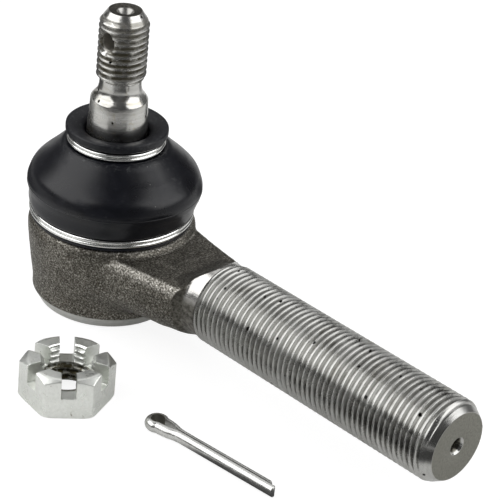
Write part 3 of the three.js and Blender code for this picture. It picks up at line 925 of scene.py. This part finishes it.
verts, faces = threaded_rod(
    STUD_THREAD, STUD_TIP, PITCH, 0.88, 5.85, stud_envelope,
    before=ball + [tuple(p) for p in neck] + taper + [tuple(p) for p in relief],
    after=[(STUD_TIP, 3.88), (STUD_TIP, 3.62), (STUD_TIP - 0.12, 3.35), (STUD_TIP - 0.16, 2.3),
           (STUD_TIP - 0.22, 2.16), (STUD_TIP - 0.6, 1.95), (STUD_TIP - 1.5, 1.2),
           (STUD_TIP - 1.75, 0.6), (STUD_TIP - 1.8, 0)],
    n=112, per=12,
)
stud = mesh_object("ball_stud_turned", verts[:, [1, 2, 0]], faces, STUD, 40)
drill = [(3.5, -7.2), (3.1, -5.85), (2.05, -4.55), (1.95, -4.3)]  # flared at both mouths
drill = [(0, -7.2), *drill, *[(r, -z) for r, z in drill[::-1]], (0, 7.2)]
hole, hole_faces = lathe(drill, 48)
hole = np.stack([hole[:, 0], hole[:, 2], -hole[:, 1] + HOLE_Z], 1)
cutter = mesh_object("cutter", hole, hole_faces, STUD, 40)
cut = stud.modifiers.new("hole", "BOOLEAN")
cut.operation, cut.solver, cut.object = "DIFFERENCE", "EXACT", cutter
bpy.context.view_layer.update()
drilled_stud = stud.evaluated_get(bpy.context.evaluated_depsgraph_get())
bored = bpy.data.meshes.new_from_object(drilled_stud)
stud.modifiers.clear()
stud.data = bored
stud.data.set_sharp_from_angle(angle=math.radians(40))
bpy.data.objects.remove(cutter)
piece(stud, "stud", "ground_steel", "ball_stud")


def boot_wobble(r, z, a):
    """How far the soft middle of the boot stands out: to one side, with a few shallow waves."""
    soft = np.clip((z - 26.5) / 3, 0, 1) * np.clip((41.5 - z) / 4, 0, 1)
    soft = soft * np.clip((r - 9) / 3, 0, 1)
    side = math.atan2(OFF_AXIS[1], OFF_AXIS[0])
    bulge = 0.10 + 0.40 * np.cos(a - side) + 0.07 * np.sin(3 * a + 0.6)
    return soft * (bulge + 0.05 * np.sin(5 * a + 0.39 * z) + 0.03 * np.sin(9 * a + 1.9))


# The boot is two shells that meet at the mould line.
MOULD_Z = 31.0
GROOVE_LOW, GROOVE_TOP = 18.7, 10.62  # radii of the grooves under the rings
outer_low = [(18.7, 22.56), (19.1, 22.5), (19.4, 22.56), (19.52, 22.75), (19.5, 22.95),
             (19.3, 23.12), (18.95, 23.2), (GROOVE_LOW, 23.3), (GROOVE_LOW, 25.25)]
outer_low += smooth_profile([(18.9, 25.4), (19.3, 25.46), (19.62, 25.62), (19.82, 25.95),
                             (19.98, 26.8), (20.08, 27.8), (20.24, 28.9), (20.48, 29.9),
                             (20.64, 30.72)], 0.3).tolist()
outer_low += [(20.71, 30.8), (20.75, 30.92), (20.74, MOULD_Z)]
inner_low = [(18.75, MOULD_Z), (18.72, 29.9), (18.55, 28.5), (18.0, 27.3), (16.9, 26.3),
             (16.6, 25.8), (16.6, 22.85), (16.75, 22.8)]
verts, faces = lathe(outer_low + inner_low, 160, boot_wobble)
low = piece(mesh_object("boot_lower", verts, faces, RUBBER, 30), None, "boot_rubber", "boot_base")
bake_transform(low)

outer_top = [(20.74, MOULD_Z), (20.69, 31.08)]
outer_top += smooth_profile([(20.72, 31.3), (20.72, 31.8), (20.64, 32.25), (20.46, 32.8),
                             (20.14, 33.7), (19.65, 34.6), (18.88, 35.5), (17.86, 36.5),
                             (16.77, 37.5), (15.67, 38.5), (14.62, 39.5), (13.78, 40.3),
                             (13.05, 41.05), (12.5, 41.5)], 0.3).tolist()
outer_top += [(12.2, 41.62), (11.9, 41.6), (11.6, 41.5), (11.1, 41.52), (10.75, 41.62),
              (GROOVE_TOP, 41.85), (GROOVE_TOP, 43.75), (10.7, 44.0), (11.5, 44.1), (11.9, 44.2),
              (12.1, 44.42), (12.15, 44.75), (12.15, 45.55), (12.1, 45.84), (11.88, 46.04),
              (11.55, BOOT_TOP), (10.8, 46.04), (9.9, 45.85), (8.9, 45.5), (8.2, 45.1),
              (7.75, 44.6), (7.55, 44.0), (7.5, 43.2), (7.62, 41.2)]
inner_top = [(10.3, 40.9), (11.6, 39.7), (13.3, 38.1), (15.2, 36.35), (16.9, 34.8),
             (18.0, 33.3), (18.6, 32.2), (18.75, MOULD_Z)]
verts, faces = lathe(outer_top + inner_top, 160, boot_wobble)
high = mesh_object("boot_upper", verts, faces, RUBBER, 30)
piece(high, None, "boot_rubber", "boot_bellows", "boot_collar")
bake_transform(high)

lower_ring = mesh_object("lower_ring_wire", *wire_ring(19.22, 24.28, 0.02, 150), WIRE, 60)
piece(lower_ring, "housing", "clamp_wire", "lower_clamp_ring")
upper_ring = mesh_object("upper_ring_wire", *wire_ring(11.2, 42.72, 0.0, 138), WIRE, 60)
piece(upper_ring, "boot_top", "clamp_wire", "upper_clamp_ring")

plate = [(0, 0.02), (8.0, 0.02), (8.5, 0.06), (8.95, 0.3), (10.75, 1.25), (11.1, 1.42),
         (11.5, 1.5), (13.9, 1.5), (14.1, 1.62), (14.1, 2.5), (14.0, 2.6), (11.2, 2.6),
         (10.6, 2.45), (8.5, 1.35), (8.1, 1.2), (0, 1.2)]
pressed = mesh_object("end_plate_pressed", *lathe(plate, 144), PLATE, 30)
piece(pressed, "housing", "plate_steel", "end_plate")

nut_box = (-11.4, -11.4, -0.3), (11.4, 11.4, NUT_H + 0.3)
place, quads = contour(nut_distance, *nut_box, 0.17, keep=0.06)
place = turn(place, NUT_TURN) + NUT_AT
piece(mesh_object("slotted_nut", place, quads, NUT_ZINC, 28), "nut", "nut_zinc", "castle_nut")

verts, faces = split_pin()
verts = turn(verts, PIN_TURN)
verts += 0.5 * (pin_low + pin_high) - 0.5 * (verts.min(0) + verts.max(0))
piece(mesh_object("split_pin_wire", verts, faces, PIN_ZINC, 40), "pin", "pin_zinc", "split_pin")

inside = (("upper_ball_seat", SEAT), ("lower_ball_seat", SEAT), ("preload_spring", SPRING))
for node, material in inside:
    obj = frame["nodes"][node]
    obj.data.materials.clear()
    obj.data.materials.append(material)


# ---- stage, light and camera --------------------------------------------------------------------
def away(azimuth, elevation):
    """The direction of a view or a light, seen from the part, with the frame's azimuths."""
    level = math.cos(elevation)
    return Vector((math.sin(azimuth) * level, -math.cos(azimuth) * level, math.sin(elevation)))


def softbox(name, azimuth, elevation, distance, size, radiance, aim=(0.03, 0, 0.02)):
    """A soft rectangular light of even radiance, aimed at the middle of the part."""
    data = bpy.data.lights.new(name, "AREA")
    data.shape = "RECTANGLE"
    data.size, data.size_y = size
    data.energy = radiance * math.pi * size[0] * size[1]
    obj = bpy.data.objects.new(name, data)
    obj.location = Vector(aim) + distance * away(math.radians(azimuth), math.radians(elevation))
    obj.rotation_euler = (Vector(aim) - obj.location).to_track_quat("-Z", "Y").to_euler()
    obj.visible_camera = False
    bpy.context.scene.collection.objects.link(obj)


def make_floor():
    """A plain pale table. To reflections only, it is dull in front, behind and on the left."""
    m = Nodes("floor", 0.9, spec=0.1)
    azimuth = m.math("ARCTAN2", m.axis(0), m.times(m.axis(1), -1.0))
    ring = m.window(m.vector("LENGTH", m.mm), 58, 70, 240, 300)
    front = m.times(m.window(azimuth, 0.08, 0.30, 1.55, 1.80), m.fall(m.axis(1), -26, -18))
    left = m.window(azimuth, -2.1, -1.8, -1.15, -0.80)
    back = m.span(m.math("ABSOLUTE", azimuth), 2.85, 3.05)
    dull = m.times(ring, m.math("MAXIMUM", m.math("MAXIMUM", front, back), left))
    beside_nut = m.vector("LENGTH", m.vector("SUBTRACT", m.mm, (NUT_AT[0] + 6, NUT_AT[1] - 10, 0)))
    dull = m.times(dull, m.span(beside_nut, 26, 36))
    seen = m.tree.nodes.new("ShaderNodeLightPath").outputs["Is Camera Ray"]
    paint = m.mix(dull, (0.84, 0.84, 0.83), (0.07, 0.07, 0.07))
    m.link(m.mix(seen, paint, (0.30, 0.30, 0.30)), "Base Color")
    m.shader.inputs["Emission Color"].default_value = (1, 1, 1, 1)
    glow = m.math("MULTIPLY_ADD", dull, -0.07, 0.09)
    m.link(m.mix_number(seen, glow, 0.86), "Emission Strength")
    n, radius, height = 96, 4000, -0.02
    a = np.arange(n) / n * TAU
    rim = np.stack([np.cos(a) * radius, np.sin(a) * radius, 0 * a + height], 1)
    disc = np.concatenate([[[0, 0, height]], rim])
    wedges = [(0, i + 1, (i + 1) % n + 1) for i in range(n)]
    mesh_object("floor", disc, wedges, m.mat, 0)


make_floor()
softbox("left_box", -33, 40, 0.75, (0.92, 0.66), 2.2)
softbox("right_box", 124, 34, 0.75, (0.764, 0.668), 2.25)
softbox("top_box", -124, 56, 0.80, (1.00, 0.72), 0.75)

world = bpy.data.worlds.new("studio")
bpy.context.scene.world = world
world.use_nodes = True
sky = world.node_tree.nodes["Background"]
sky.inputs["Color"].default_value = (1, 1, 1, 1)
seen = world.node_tree.nodes.new("ShaderNodeLightPath")
level = world.node_tree.nodes.new("ShaderNodeMapRange")
level.inputs["To Min"].default_value = 0.09  # what lights the part
level.inputs["To Max"].default_value = 1.0  # what stands behind it
world.node_tree.links.new(seen.outputs["Is Camera Ray"], level.inputs["Value"])
world.node_tree.links.new(level.outputs["Result"], sky.inputs["Strength"])

AZIMUTH, ELEVATION, ROLL = math.radians(42.384), math.radians(29.595), math.radians(6.141)
TARGET = Vector((46.089, -0.001, 33.63)) * MM
DISTANCE = 0.488873
back = away(AZIMUTH, ELEVATION)
right = Vector((math.cos(AZIMUTH), math.sin(AZIMUTH), 0))
up = back.cross(right)
camera_data = bpy.data.cameras.new("camera")
camera_data.lens = 156.567
camera_data.sensor_width = 36
camera_data.clip_start, camera_data.clip_end = 0.02, 20
camera = bpy.data.objects.new("camera", camera_data)
axes = Matrix((math.cos(ROLL) * right + math.sin(ROLL) * up,
               -math.sin(ROLL) * right + math.cos(ROLL) * up, back)).transposed().to_4x4()
camera.matrix_world = Matrix.Translation(TARGET + DISTANCE * back) @ axes
bpy.context.scene.collection.objects.link(camera)
bpy.context.scene.camera = camera
bpy.context.scene.view_settings.view_transform = "Standard"
